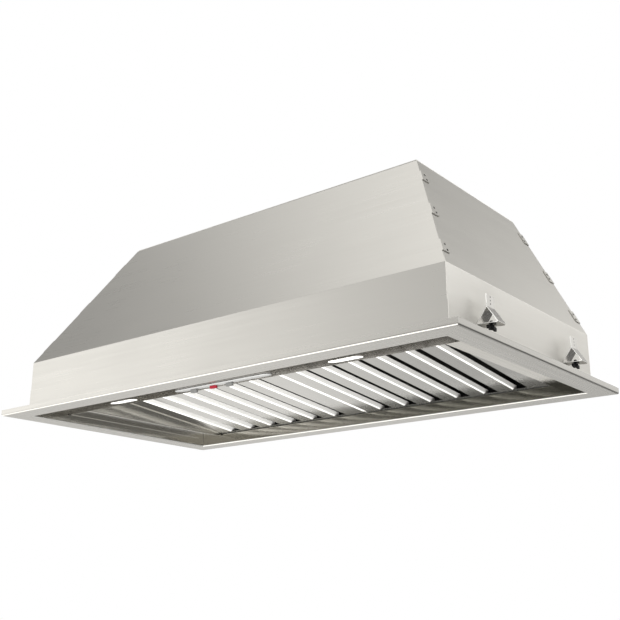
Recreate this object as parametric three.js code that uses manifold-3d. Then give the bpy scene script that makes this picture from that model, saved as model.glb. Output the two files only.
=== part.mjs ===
// A range hood insert: the folded stainless box, with its fan, lamps and baffle filters, that is
// pushed up into a wooden hood and hangs there by its trim flange and four side clips.
// Millimetres, +Z up, front towards -Y. The origin is the middle of the trim flange's underside.

import * as THREE from "three";
import { mergeVertices } from "three/addons/utils/BufferGeometryUtils.js";
import Module from "manifold-3d";

const wasm = await Module();
wasm.setup();

// ---------------------------------------------------------------- driving dimensions

// Sheet metal
const sheet = 1.2; // gauge of the flange, the body and the inner panels
const foldRadius = 0.8; // inner radius of their folds
const seam = 0.3; // gap between two pieces that touch
const millimetre = 1; // small step, such as what a cutter passes a face by

// Trim flange
const flangeWidth = 873;
const flangeDepth = 476.2;
const ringWidth = 35.5; // from the outer edge to the opening
const lipHeight = 9.8; // the upturned outer edge
const lipFold = 1.8; // inner radius of its fold
const flangeFolds = 3; // facets in each fold of the flange
const rolledStraight = 0.1; // straight end of the edge rolled up round the opening

// Body
const sideMargin = 31.5; // flange edge to side wall
const frontMargin = 32.1;
const rearMargin = 24.4;
const bandHeight = 92.5; // top of the upright band
const bodyHeight = 307.7;
const sideSetback = 110.5; // how far each side leans in
const frontSetback = 123;
const topFold = 18; // flange folded under the top plate
const tabLength = 23; // tabs that wrap round the sloped corners
const tabWidth = 15;
const tabTops = [0.187, 0.523, 0.867]; // as fractions of the slope's height
const earLength = 13; // stub of the front band at the foot of each corner
const earBottom = 10.4;
const earTop = 20.7;
const returnTop = 45; // top of the narrow return below each front corner
const returnWidth = 1.1;

// Recess round the filters
const recessDepth = 15.5; // underside of the side panels
const stripSetback = 79.1; // depth of the control strip, from the opening to the riser
const riserTop = 78;
const riserFold = 15;
const bayHalfWidth = 351.5; // filter bay wall
const railTop = 19.75; // ledge that the filters' rear edges rest on
const railFlange = 11;

// Baffle filters
const filterWidth = 348;
const filterSplit = 3; // gap between the two
const filterHeight = 22;
const filterSheet = 1;
const filterStrip = 0.6; // thickness of the strips that carry the baffles
const filterTilt = 5.7; // degrees, front edge up
const filterTail = 7.5; // behind the tilt line, on the ledge
const filterMargin = 12.5; // unslotted sheet at each end
const slotCount = 6;
const slotPitch = 50.5;
const slotWidth = 22;
const slotShift = -5.7; // middle of the slots to the middle of the filter
const slotWall = 9;
const baffleWidth = 34; // upper channel over each slot
const baffleDrop = 9;
const pivotInset = 0.6; // tilt line in front of the ledge
const filterFold = 1; // facets in each fold
const swingClearance = 1.2; // between a swinging filter and the riser
const catchWidth = 30;
const catchHeight = 16;
const catchSheet = 0.6;
const catchBulge = 3.2;
const catchFlat = 5; // straight top of the leaf, spot welded to the riser
const catchLip = 3; // below its bulge
const catchFold = 0.3;

// Duct and damper
const ductInset = 129.7; // centre of the duct to the back wall
const collarRadius = 101.6;
const collarHeight = 32;
const collarFlange = 14;
const collarLedge = 5.4;
const bead = 1.8; // bead rolled round the collar
const beadLift = 8; // below its rim
const damperOpening = 97;
const rodRadius = 2.5;
const knuckleGap = 0.6; // round the rod
const knuckleRadius = 4.1;
const knuckleLength = 16;
const knuckleSpread = 60;
const flapSheet = 1;
const flapClearance = 3;
const ductFacets = 36;

// Blower
const wheelRadius = 72;
const wheelWidth = 120;
const wheelRim = 4; // width of the ring at each end of the blades
const bladeCount = 30;
const bladeDepth = 13;
const bladeSheet = 1;
const bladeSweep = 14; // degrees that a blade leans forward
const shaftRadius = 4;
const bossRadius = 14;
const bossLength = 24;
const blowerZ = 172;
const scrollStart = 80; // scroll radius at the cut-off
const scrollEnd = 118; // and where it meets the outlet
const scrollWidth = 150;
const mouthDepth = 124;
const inletRadius = 60;
const inletLip = 10;
const inletFacets = 30;
const blowerFlange = 222;
const motorRadius = 42;
const motorLength = 80;
const motorStandoff = 10;
const endBell = 8; // bevel of the motor's two ends
const shaftSocket = 20;
const bracketAngles = [80, 200, 320];
const bracketArm = 14;
const bracketSheet = 2;
const bracketBand = 16;
const bracketFoot = 12; // radial length of each foot
const bracketGap = 4; // foot outside the inlet
const capacitorRadius = 15;
const capacitorLength = 46;

// Wiring
const boxWidth = 100;
const boxDepth = 78;
const boxHeight = 42;
const boxFromSide = 94.5; // its middle to the top plate's left edge
const boxFromBack = 67.7; // and to the back wall
const coverLip = 6;
const glandRadius = 10;
const glandBore = 7;
const glandNut = 16;
const glandNutHeight = 7;
const glandDome = 5;
const lockNutRadius = 15;
const lockNutHeight = 6;
const conduitRadius = 8;
const conduitLead = 60; // straight run out of the box
const conduitHang = 40; // distance that it keeps behind the front slope
const conduitStops = [0.6, 0.25]; // where, as fractions of the slope
const conduitEnd = 56; // behind the front wall
const conduitDrop = 24; // straight run down onto the control housing
const leadRadius = 5;
const leadInset = 15; // from the box's right side
const leadRun = 28; // straight out of the box
const leadRise = 22; // and straight up from the motor

// Lamps and controls, measured on the control strip
const lampX = 220.6;
const lampMiddle = 44.5; // from the strip's front edge
const lampWidth = 52;
const lampDepth = 20;
const lampCorner = 8.5;
const lampCan = 24;
const canWall = 1;
const canFlange = 5;
const lensThickness = 1.8;
const ledBoard = 1.6;
const ledGap = 1; // board to the can's wall
const ledSize = 3.5;
const ledHeight = 0.9;
const ledPitch = 12;
const ledColumns = 4;
const ledRows = 2;
const stripCentre = 39;
const bezelWidth = 186;
const bezelDepth = 20;
const bezelThickness = 1.9;
const bezelBevel = 1.6;
const knobWidth = 12;
const knobDepth = 6;
const knobHeight = 5;
const knobCorner = 2;
const knobFoot = 7; // side of the square foot behind the strip
const knobFootSheet = 1;
const trackWidth = 3;
const stemClearance = 0.4;
const lightKnobX = -57;
const lightTravel = 16;
const fanKnobX = 15;
const fanTravel = 54;
const indicatorX = -17;
const indicatorWidth = 8;
const indicatorDepth = 4;
const lensBorder = 2; // that the indicator's face laps over its hole
const lensRise = 4;
const boardWidth = 176;
const boardDepth = 52;
const boardLift = 10;
const boardSheet = 1.6;
const postRadius = 2.5;
const postInset = 5;
const driverWidth = 62;
const driverDepth = 37;
const driverHeight = 22;
const driverCorner = 3;

// Side clips
const clipYs = [-127.8, 121.3];
const clipWidth = 20.5;
const clipSheet = 1;
const clipFootZ = 28.5; // where the clip meets the wall
const clipReach = 31; // out to its lower corner
const clipDrop = 1.5; // lower corner below the foot
const clipApexX = 15.5;
const clipApexZ = 21.5;
const clipTab = 15.8;
const tongueWidth = 11;
const tongueLength = 2.6;
const tongueHook = 3;
const slotClearance = 1.1; // round the tongue in the wall's slot
const clipFold = 0.5;
const screwRadius = 2;
const screwTip = 5; // above the clip's base
const hubRadius = 3.8;
const wingSpan = 21;
const wingHeight = 4.6;
const wingSheet = 3;
const wingSag = 0.5; // ends of the wings below the hub
const wingArch = 0.8; // middle of their lower edge above it
const wingCorner = 2;

// ---------------------------------------------------------------- derived places

const rolledEdge = sheet + foldRadius + rolledStraight;
const frontY = -flangeDepth / 2 + frontMargin;
const backY = flangeDepth / 2 - rearMargin;
const sideX = flangeWidth / 2 - sideMargin;
const topX = sideX - sideSetback;
const topFrontY = frontY + frontSetback;
const ringX = flangeWidth / 2 - ringWidth;
const ringY = flangeDepth / 2 - ringWidth;
const wallInset = sheet + seam; // from an outer face to whatever sits just inside it
const panelFoot = rolledEdge + seam; // foot of the pieces that stand on the rolled edge
const riserY = -ringY + stripSetback;
const stripTilt = Math.atan2(recessDepth - panelFoot, stripSetback);
const plateUnderside = bodyHeight - sheet;
const tilt = THREE.MathUtils.degToRad(filterTilt);
const pivotY = ringY - pivotInset;
const pivotZ = railTop + seam + filterTail * Math.sin(tilt);
const filterReach = Math.sqrt((pivotY - riserY - swingClearance) ** 2 - filterHeight ** 2);
const ductY = backY - ductInset;
const blowerY = ductY + mouthDepth / 2 - scrollEnd;
const boxX = -topX + boxFromSide;
const boxY = backY - boxFromBack;

// The body seen from the side (y, z) and from the front (x, z).
const sideView = [
  [frontY, 0],
  [backY, 0],
  [backY, bodyHeight],
  [topFrontY, bodyHeight],
  [frontY, bandHeight],
];
const frontView = [
  [-sideX, 0],
  [sideX, 0],
  [sideX, bandHeight],
  [topX, bodyHeight],
  [-topX, bodyHeight],
  [-sideX, bandHeight],
];

// ---------------------------------------------------------------- materials

function material(name, color, roughness, metalness) {
  return new THREE.MeshStandardMaterial({ name, color, roughness, metalness });
}

const steel = material("brushed_stainless", 0xc4c3bd, 0.35, 1);
const filterSteel = material("filter_stainless", 0xd0cfc9, 0.28, 1);
const springSteel = material("spring_steel", 0xb9b9b4, 0.3, 1);
const zinc = material("galvanised_sheet", 0xb4b8ba, 0.5, 1);
const plainSteel = material("turned_steel", 0x9a9b9c, 0.35, 1);
const black = material("black_plastic", 0x161616, 0.6, 0);
const silver = material("silver_plastic", 0xd9d9d6, 0.35, 0.1);
const aluminium = material("capacitor_can", 0xc2c3c6, 0.4, 1);
const enamel = material("black_enamel", 0x1c1c1e, 0.45, 0.2);
const grey = material("grey_knob", 0x8d8d8a, 0.45, 0);
const red = material("red_lens", 0xc8202c, 0.2, 0);
const opal = material("opal_lens", 0xf6f6f2, 0.3, 0);
const green = material("circuit_board", 0x2c5a3c, 0.55, 0);
const boardWhite = material("lamp_board", 0xe4e4df, 0.5, 0);

// ---------------------------------------------------------------- solids from three.js shapes

// A closed geometry as a solid that can be joined and cut.
function solid(geometry) {
  const bare = geometry.clone();
  bare.deleteAttribute("normal");
  bare.deleteAttribute("uv");
  const merged = mergeVertices(bare, 1e-4);
  const mesh = new wasm.Mesh({
    numProp: 3,
    vertProperties: new Float32Array(merged.attributes.position.array),
    triVerts: new Uint32Array(merged.index.array),
  });
  return new wasm.Manifold(mesh);
}

function geometryOf(made) {
  const mesh = made.getMesh();
  const geometry = new THREE.BufferGeometry();
  geometry.setAttribute("position", new THREE.BufferAttribute(mesh.vertProperties, 3));
  geometry.setIndex(new THREE.BufferAttribute(mesh.triVerts, 1));
  return geometry;
}

function combine(action, first, rest) {
  return geometryOf(rest.reduce((made, next) => made[action](solid(next)), solid(first)));
}

const join = (first, ...rest) => combine("add", first, rest);
const cut = (first, ...rest) => combine("subtract", first, rest);
const common = (first, ...rest) => combine("intersect", first, rest);

// Turns every triangle round.
function flipped(geometry) {
  const turned = geometry.index ? geometry.toNonIndexed() : geometry.clone();
  const position = turned.attributes.position;
  const held = new THREE.Vector3();
  const other = new THREE.Vector3();
  for (let i = 0; i < position.count; i += 3) {
    held.fromBufferAttribute(position, i + 1);
    other.fromBufferAttribute(position, i + 2);
    position.setXYZ(i + 1, ...other);
    position.setXYZ(i + 2, ...held);
  }
  return turned;
}

const outward = (geometry) => (solid(geometry).volume() < 0 ? flipped(geometry) : geometry);
const mirrored = (geometry) => flipped(geometry.clone().scale(-1, 1, 1));

function block(x0, x1, y0, y1, z0, z1) {
  const box = new THREE.BoxGeometry(x1 - x0, y1 - y0, z1 - z0);
  return box.translate((x0 + x1) / 2, (y0 + y1) / 2, (z0 + z1) / 2);
}

function extruded(outline, depth, holes = [], bevel = {}) {
  const points = (loop) => loop.map(([a, b]) => new THREE.Vector2(a, b));
  const shape = new THREE.Shape(points(outline));
  shape.holes = holes.map((hole) => new THREE.Path(points(hole)));
  return new THREE.ExtrudeGeometry(shape, { depth, bevelEnabled: false, ...bevel });
}

const axisX = new THREE.Vector3(1, 0, 0);
const axisY = new THREE.Vector3(0, 1, 0);
const axisZ = new THREE.Vector3(0, 0, 1);

// An outline of (y, z) points drawn out along X.
function alongX(outline, x0, x1) {
  const turn = new THREE.Matrix4().makeBasis(axisY, axisZ, axisX);
  return extruded(outline, x1 - x0).applyMatrix4(turn).translate(x0, 0, 0);
}

// An outline of (x, z) points drawn out along Y.
function alongY(outline, y0, y1) {
  const turn = new THREE.Matrix4().makeBasis(axisX, axisZ, axisY.clone().negate());
  return extruded(outline, y1 - y0).applyMatrix4(turn).translate(0, y1, 0);
}

// An outline of (x, y) points drawn out along Z.
const alongZ = (outline, z0, z1, holes) => extruded(outline, z1 - z0, holes).translate(0, 0, z0);

// A profile of (radius, height) points turned about an axis.
function turned(profile, segments) {
  const points = profile.map(([radius, height]) => new THREE.Vector2(radius, height));
  if (profile[0][0] > 0) points.push(points[0].clone());
  return outward(new THREE.LatheGeometry(points, segments));
}

const turnedAboutZ = (profile, segments = 24) => turned(profile, segments).rotateX(Math.PI / 2);
const turnedAboutX = (profile, segments = 24) => turned(profile, segments).rotateZ(-Math.PI / 2);
const tube = (inner, outer, z0, z1) => [
  [inner, z0],
  [outer, z0],
  [outer, z1],
  [inner, z1],
];
const rod = (radius, z0, z1) => [
  [0, z0],
  [radius, z0],
  [radius, z1],
  [0, z1],
];

function rectangle(x0, x1, y0, y1) {
  return [
    [x0, y0],
    [x1, y0],
    [x1, y1],
    [x0, y1],
  ];
}

// A rectangle centred on (x, y) with round corners.
function roundedRectangle(width, depth, radius, x = 0, y = 0, steps = 4) {
  const points = [];
  const corners = [
    [1, 1],
    [-1, 1],
    [-1, -1],
    [1, -1],
  ];
  corners.forEach(([sx, sy], corner) => {
    const cx = x + sx * (width / 2 - radius);
    const cy = y + sy * (depth / 2 - radius);
    for (let i = 0; i <= steps; i++) {
      const angle = ((corner + i / steps) * Math.PI) / 2;
      points.push([cx + radius * Math.cos(angle), cy + radius * Math.sin(angle)]);
    }
  });
  return points;
}

// A convex counter-clockwise outline moved inwards by a distance.
function inset(outline, distance) {
  return outline.map((point, i) => {
    const before = outline[(i + outline.length - 1) % outline.length];
    const after = outline[(i + 1) % outline.length];
    const d0 = new THREE.Vector2(point[0] - before[0], point[1] - before[1]).normalize();
    const d1 = new THREE.Vector2(after[0] - point[0], after[1] - point[1]).normalize();
    const shift = distance / (1 + d0.dot(d1));
    return [point[0] - shift * (d0.y + d1.y), point[1] + shift * (d0.x + d1.x)];
  });
}

// The section of a folded sheet: the path runs along one face, with the metal on its left.
// The inner radius is one number or a list with one for each point of the path.
function foldedSheet(path, thickness = sheet, inner = foldRadius, steps = 2) {
  const face = [];
  const back = [];
  const point = (i) => new THREE.Vector2(...path[i]);
  const heading = (i) => point(i + 1).sub(point(i)).normalize();
  const leftOf = (d) => new THREE.Vector2(-d.y, d.x);
  path.forEach((_, i) => {
    const first = i === 0;
    if (first || i === path.length - 1) {
      const normal = leftOf(heading(first ? 0 : i - 1));
      face.push(point(i));
      back.push(point(i).addScaledVector(normal, thickness));
      return;
    }
    const d0 = heading(i - 1);
    const turn = Math.atan2(d0.cross(heading(i)), d0.dot(heading(i)));
    const side = Math.sign(turn);
    const bend = inner[i] ?? inner;
    const faceRadius = side > 0 ? bend + thickness : bend;
    const backRadius = side > 0 ? bend : bend + thickness;
    const start = point(i).addScaledVector(d0, -faceRadius * Math.tan(Math.abs(turn) / 2));
    const towardsCentre = leftOf(d0).multiplyScalar(side);
    const centre = start.clone().addScaledVector(towardsCentre, faceRadius);
    for (let k = 0; k <= steps; k++) {
      const spoke = towardsCentre.clone().negate().rotateAround(new THREE.Vector2(), (turn * k) / steps);
      face.push(centre.clone().addScaledVector(spoke, faceRadius));
      back.push(centre.clone().addScaledVector(spoke, backRadius));
    }
  });
  return [...face, ...back.reverse()].map(({ x, y }) => [x, y]);
}

// A rectangular frame with mitred corners. Its section is (distance in from the outer edge, height).
function mitredFrame(section, width, depth) {
  const corners = [
    [1, 1],
    [-1, 1],
    [-1, -1],
    [1, -1],
  ];
  const positions = corners.flatMap(([sx, sy]) =>
    section.flatMap(([d, z]) => [sx * (width / 2 - d), sy * (depth / 2 - d), z]),
  );
  const count = section.length;
  const indices = [];
  corners.forEach((_, corner) => {
    const here = corner * count;
    const next = ((corner + 1) % corners.length) * count;
    for (let i = 0; i < count; i++) {
      const j = (i + 1) % count;
      indices.push(here + i, here + j, next + j, here + i, next + j, next + i);
    }
  });
  const geometry = new THREE.BufferGeometry();
  geometry.setAttribute("position", new THREE.Float32BufferAttribute(positions, 3));
  geometry.setIndex(indices);
  return outward(geometry);
}

// ---------------------------------------------------------------- the assembly

const hood = new THREE.Group();

function add(name, geometry, look, parent = hood) {
  const flat = geometry.index ? geometry.toNonIndexed() : geometry.clone();
  flat.deleteAttribute("uv");
  flat.computeVertexNormals();
  const mesh = new THREE.Mesh(flat, look);
  mesh.name = name;
  parent.add(mesh);
}

// ---------------------------------------------------------------- trim flange

const flangeSection = foldedSheet(
  [
    [0, lipHeight],
    [0, 0],
    [ringWidth, 0],
    [ringWidth, rolledEdge],
  ],
  sheet,
  [0, lipFold, foldRadius, 0],
  flangeFolds,
);
add("trim_flange", mitredFrame(flangeSection, flangeWidth, flangeDepth), steel);

// ---------------------------------------------------------------- body panels

const insideSideView = inset(sideView, wallInset);
const insideFrontView = inset(frontView, wallInset);
const slopeOverhang = 5;

// What lies behind the front wall but outside the side walls, where a fold would meet them.
const besideInterior = cut(
  alongX(insideSideView, -flangeWidth / 2, flangeWidth / 2),
  alongY(insideFrontView, frontY, backY),
);

// A stretch of the sloped side, between two heights, moved out from the wall's face.
function slopeStretch(top, out0, out1) {
  const slope = new THREE.Vector2(-sideSetback, bodyHeight - bandHeight).normalize();
  const normal = new THREE.Vector2(slope.y, -slope.x);
  const upper = new THREE.Vector2(sideX, bandHeight);
  upper.lerp(new THREE.Vector2(topX, bodyHeight), top);
  const lower = upper.clone().addScaledVector(slope, -tabLength);
  const at = (from, out) => from.clone().addScaledVector(normal, out).toArray();
  return [at(lower, out0), at(lower, out1), at(upper, out1), at(upper, out0)];
}

// Tabs folded from the front or the back panel onto the outside of the sloped sides.
function cornerTabs(panelSection, nearFront) {
  const y0 = nearFront ? frontY - slopeOverhang : 0;
  const y1 = nearFront ? 0 : backY + slopeOverhang;
  const reach = flangeWidth / 2;
  const edgeBand = cut(
    alongX(sideView, 0, reach),
    alongX(inset(sideView, tabWidth), -reach, 2 * reach),
  );
  return tabTops.map((top) => {
    const plate = alongY(slopeStretch(top, seam, wallInset), y0, y1);
    const fold = common(
      alongX(panelSection, 0, reach),
      alongY(slopeStretch(top, -sheet, wallInset), y0, y1),
    );
    return join(fold, common(plate, edgeBand));
  });
}

function bodyPanel(section, nearFront) {
  const y0 = frontY - slopeOverhang;
  const y1 = backY + slopeOverhang;
  const trimmed = cut(common(alongX(section, -sideX, sideX), alongY(frontView, y0, y1)), besideInterior);
  const tabs = cornerTabs(section, nearFront);
  return join(trimmed, ...tabs, ...tabs.map(mirrored));
}

const slopeAtFold = (setback) => (setback * wallInset) / (bodyHeight - bandHeight);

const frontSection = foldedSheet([
  [topFrontY + topFold, bodyHeight - wallInset],
  [topFrontY - slopeAtFold(frontSetback), bodyHeight - wallInset],
  [frontY, bandHeight],
  [frontY, wallInset],
]);
const cornerEar = block(sideX - sheet, sideX + earLength, frontY, frontY + sheet, earBottom, earTop);
const cornerReturn = block(
  sideX - sheet,
  sideX + returnWidth,
  frontY,
  frontY + sheet,
  wallInset,
  returnTop,
);
add(
  "front_panel",
  join(
    bodyPanel(frontSection, true),
    cornerEar,
    mirrored(cornerEar),
    cornerReturn,
    mirrored(cornerReturn),
  ),
  steel,
);

const backSection = foldedSheet([
  [backY, wallInset],
  [backY, bodyHeight - wallInset],
  [backY - topFold, bodyHeight - wallInset],
]);
add("back_panel", bodyPanel(backSection, false), steel);

const sideSection = foldedSheet([
  [sideX, wallInset],
  [sideX, bandHeight],
  [topX + slopeAtFold(sideSetback), bodyHeight - wallInset],
]);
const tongueSlots = clipYs.map((y) =>
  block(
    sideX - 2 * sheet,
    sideX + sheet,
    y - tongueWidth / 2 - slotClearance / 2,
    y + tongueWidth / 2 + slotClearance / 2,
    clipFootZ - slotClearance,
    clipFootZ + clipSheet + slotClearance,
  ),
);
const rightSide = cut(
  common(alongY(sideSection, frontY, backY), alongX(insideSideView, 0, flangeWidth / 2)),
  ...tongueSlots,
);
add("right_side_panel", rightSide, steel);
add("left_side_panel", mirrored(rightSide), steel);

function circle(radius, x, y, steps) {
  const points = [];
  for (let i = 0; i < steps; i++) {
    const angle = (i * 2 * Math.PI) / steps;
    points.push([x + radius * Math.cos(angle), y + radius * Math.sin(angle)]);
  }
  return points;
}

add(
  "top_plate",
  alongZ(rectangle(-topX, topX, topFrontY, backY), plateUnderside, bodyHeight, [
    circle(damperOpening, 0, ductY, ductFacets),
    circle(glandRadius + seam, boxX, boxY, 12),
  ]),
  steel,
);

// ---------------------------------------------------------------- duct collar and backdraft damper

const collarFoot = bodyHeight + seam;
const flapBottom = collarFoot + sheet + seam;
const damperAxisZ = flapBottom + knuckleRadius;
const collarInner = collarRadius - sheet;

const collarProfile = [
  [collarInner - collarLedge, collarFoot],
  [collarRadius + collarFlange, collarFoot],
  [collarRadius + collarFlange, collarFoot + sheet],
  [collarRadius, collarFoot + sheet],
  [collarRadius, bodyHeight + collarHeight - beadLift - 2 * bead],
  [collarRadius + bead, bodyHeight + collarHeight - beadLift - bead],
  [collarRadius, bodyHeight + collarHeight - beadLift],
  [collarRadius, bodyHeight + collarHeight],
  [collarInner, bodyHeight + collarHeight],
  [collarInner, collarFoot + sheet],
  [collarInner - collarLedge, collarFoot + sheet],
];
const rodHoles = turnedAboutX(rod(rodRadius + seam, -2 * collarRadius, 2 * collarRadius), 12);
rodHoles.translate(0, ductY, damperAxisZ);
const collar = turnedAboutZ(collarProfile, ductFacets).translate(0, ductY, 0);
add("duct_collar", cut(collar, rodHoles), zinc);

const damperRod = turnedAboutX(rod(rodRadius, -collarRadius, collarRadius), 12);
add("damper_rod", damperRod.translate(0, ductY, damperAxisZ), plainSteel);

// A half disc with two knuckles round the rod. Its straight edge clears the other flap's knuckles.
function flap(direction, knuckleXs) {
  const radius = collarInner - flapClearance;
  const edge = knuckleRadius + 2 * seam;
  const overlap = rodRadius; // of a knuckle's tail on the plate
  const half = Math.acos(edge / radius);
  const outline = [];
  const steps = ductFacets / 2;
  for (let i = 0; i <= steps; i++) {
    const angle = Math.PI / 2 - half + (2 * half * i) / steps;
    outline.push([radius * Math.cos(angle), direction * radius * Math.sin(angle)]);
  }
  const top = -knuckleRadius + flapSheet;
  const plate = alongZ(outline, -knuckleRadius, top);
  const knuckles = knuckleXs.flatMap((x) => {
    const x0 = x - knuckleLength / 2;
    const x1 = x + knuckleLength / 2;
    const barrel = turnedAboutX(tube(rodRadius + knuckleGap, knuckleRadius, x0, x1), 12);
    const [y0, y1] = [0, direction * (edge + overlap)].sort((a, b) => a - b);
    return [barrel, block(x0, x1, y0, y1, -knuckleRadius, top)];
  });
  const bore = turnedAboutX(rod(rodRadius + knuckleGap, -radius, radius), 12);
  return cut(join(plate, ...knuckles), bore).translate(0, ductY, damperAxisZ);
}

add("damper_flap_front", flap(-1, [-knuckleSpread, knuckleSpread / 3]), zinc);
add("damper_flap_rear", flap(1, [-knuckleSpread / 3, knuckleSpread]), zinc);

// ---------------------------------------------------------------- blower

const scrollSteps = 24;
const cutOffAngle = Math.PI / 2 + Math.asin((mouthDepth - scrollEnd) / scrollStart);

// The scroll's outline (y, z), moved in by a wall, with the outlet running up to a height.
function scrollOutline(wall, outletTop) {
  const points = [];
  for (let i = 0; i <= scrollSteps; i++) {
    const angle = cutOffAngle + ((2 * Math.PI - cutOffAngle) * i) / scrollSteps;
    const radius = scrollStart + ((scrollEnd - scrollStart) * i) / scrollSteps - wall;
    points.push([blowerY + radius * Math.cos(angle), blowerZ + radius * Math.sin(angle)]);
  }
  points[0][0] = blowerY + scrollEnd - mouthDepth + wall;
  const mouth = [
    [blowerY + scrollEnd - wall, outletTop],
    [blowerY + scrollEnd - mouthDepth + wall, outletTop],
  ];
  return [...points, ...mouth];
}

const flangeTop = plateUnderside - seam;
const scrollHalf = scrollWidth / 2;
const scrollInnerHalf = scrollHalf - sheet;
const outerScroll = alongX(scrollOutline(0, flangeTop), -scrollHalf, scrollHalf);
const innerScroll = alongX(
  scrollOutline(sheet, flangeTop + millimetre),
  -scrollInnerHalf,
  scrollInnerHalf,
);
const inletBore = turnedAboutX(rod(inletRadius, -scrollWidth, scrollWidth), inletFacets);
inletBore.translate(0, blowerY, blowerZ);
const mouthHole = rectangle(
  -scrollInnerHalf,
  scrollInnerHalf,
  ductY - mouthDepth / 2 + sheet,
  ductY + mouthDepth / 2 - sheet,
);
const blowerPlate = alongZ(
  rectangle(-blowerFlange / 2, blowerFlange / 2, ductY - blowerFlange / 2, ductY + blowerFlange / 2),
  flangeTop - sheet,
  flangeTop,
  [mouthHole],
);
const lipProfile = tube(inletRadius - sheet, inletRadius + sheet / 3, scrollHalf - inletLip, scrollHalf);
const inletRing = turnedAboutX(lipProfile, inletFacets).translate(0, blowerY, blowerZ);
add(
  "blower_housing",
  join(
    cut(outerScroll, innerScroll, inletBore),
    blowerPlate,
    inletRing,
    mirrored(inletRing),
  ),
  zinc,
);

// One forward-curved blade as an outline (y, z) about the wheel's axis.
function bladeOutline(turn) {
  const steps = 2;
  const inner = wheelRadius - bladeDepth;
  const side = (sign) =>
    Array.from({ length: steps + 1 }, (_, i) => {
      const along = i / steps;
      const radius = inner + (bladeDepth - 1) * along;
      const lean = THREE.MathUtils.degToRad(bladeSweep) * along ** 2;
      const angle = turn + lean + (sign * bladeSheet) / 2 / radius;
      return [radius * Math.cos(angle), radius * Math.sin(angle)];
    });
  return [...side(-1), ...side(1).reverse()];
}

function blowerWheel() {
  const half = wheelWidth / 2;
  const rim = tube(wheelRadius - bladeDepth, wheelRadius, half - wheelRim, half);
  const disc = tube(shaftRadius + seam, wheelRadius - bladeSheet / 2, -bladeSheet, bladeSheet);
  const boss = tube(shaftRadius + seam, bossRadius, -bossLength / 2, bossLength / 2);
  const blades = Array.from({ length: bladeCount }, (_, i) =>
    alongX(bladeOutline((i * 2 * Math.PI) / bladeCount), -half + bladeSheet, half - bladeSheet),
  );
  const rightRim = turnedAboutX(rim, bladeCount);
  return join(
    turnedAboutX(disc, bladeCount),
    turnedAboutX(boss, bladeCount / 2),
    rightRim,
    mirrored(rightRim),
    ...blades,
  );
}

const motorFace = -scrollHalf - motorStandoff;
const shaft = rod(shaftRadius, motorFace - shaftSocket + seam, bossLength / 2 + shaftRadius);
const ontoBlower = (geometry) => geometry.translate(0, blowerY, blowerZ);
add("blower_wheel", ontoBlower(blowerWheel()), zinc);
add("motor_shaft", ontoBlower(turnedAboutX(shaft, 16)), plainSteel);
add(
  "motor",
  ontoBlower(
    turnedAboutX([
      [0, motorFace - motorLength],
      [motorRadius - endBell, motorFace - motorLength],
      [motorRadius, motorFace - motorLength + endBell],
      [motorRadius, motorFace - endBell],
      [motorRadius - endBell, motorFace],
      [shaftRadius + seam, motorFace],
      [shaftRadius + seam, motorFace - shaftSocket],
      [0, motorFace - shaftSocket],
    ]),
  ),
  enamel,
);

// A band round the motor with three arms that stand on the housing's wall outside the inlet.
function motorBracket() {
  const bandEnd = motorFace - endBell;
  const bandFace = motorRadius + seam;
  const footFace = inletRadius + bracketGap;
  const footEnd = footFace + bracketFoot;
  const band = turnedAboutX(
    tube(bandFace, bandFace + bracketSheet, bandEnd - bracketBand, bandEnd),
  );
  const wallFace = -scrollHalf - seam;
  const armFace = bandEnd - bracketSheet;
  const half = bracketArm / 2;
  const arms = bracketAngles.flatMap((degrees) => {
    const arm = block(armFace, bandEnd, bandFace + bracketSheet / 2, footEnd, -half, half);
    const leg = block(armFace, wallFace, footFace, footEnd, -half, half);
    const angle = THREE.MathUtils.degToRad(degrees);
    return [arm.rotateX(angle), leg.rotateX(angle)];
  });
  return join(band, ...arms);
}
add("motor_bracket", ontoBlower(motorBracket()), zinc);

const capacitorTop = flangeTop - sheet - seam;
add(
  "run_capacitor",
  turnedAboutZ(rod(capacitorRadius, capacitorTop - capacitorLength, capacitorTop), 20).translate(
    scrollHalf + seam + capacitorRadius,
    ductY + mouthDepth / 4,
    0,
  ),
  aluminium,
);

// ---------------------------------------------------------------- junction box and wiring

function openBox(width, depth, height, wall) {
  return cut(
    block(-width / 2, width / 2, -depth / 2, depth / 2, -height, 0),
    block(
      -width / 2 + wall,
      width / 2 - wall,
      -depth / 2 + wall,
      depth / 2 - wall,
      -height - millimetre,
      -wall,
    ),
  );
}

const conduitZ = flangeTop - boxHeight / 2;
const boxFrontY = boxY - boxDepth / 2;
const glandEntry = turnedAboutZ(rod(glandRadius + seam, -boxHeight, boxHeight), 12);
const junctionBox = cut(
  openBox(boxWidth, boxDepth, boxHeight, sheet).translate(boxX, boxY, flangeTop),
  glandEntry.translate(boxX, boxY, flangeTop),
);
add("junction_box", junctionBox, zinc);

const coverTop = flangeTop - boxHeight - seam;
const coverPlate = block(
  boxX - boxWidth / 2,
  boxX + boxWidth / 2,
  boxY - boxDepth / 2,
  boxY + boxDepth / 2,
  coverTop - sheet,
  coverTop,
);
const coverRim = alongZ(
  rectangle(
    boxX - boxWidth / 2 + wallInset,
    boxX + boxWidth / 2 - wallInset,
    boxY - boxDepth / 2 + wallInset,
    boxY + boxDepth / 2 - wallInset,
  ),
  coverTop - sheet / 2,
  coverTop + coverLip,
  [
    rectangle(
      boxX - boxWidth / 2 + wallInset + sheet,
      boxX + boxWidth / 2 - wallInset - sheet,
      boxY - boxDepth / 2 + wallInset + sheet,
      boxY + boxDepth / 2 - wallInset - sheet,
    ),
  ],
);
add("junction_cover", join(coverPlate, coverRim), zinc);

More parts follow.
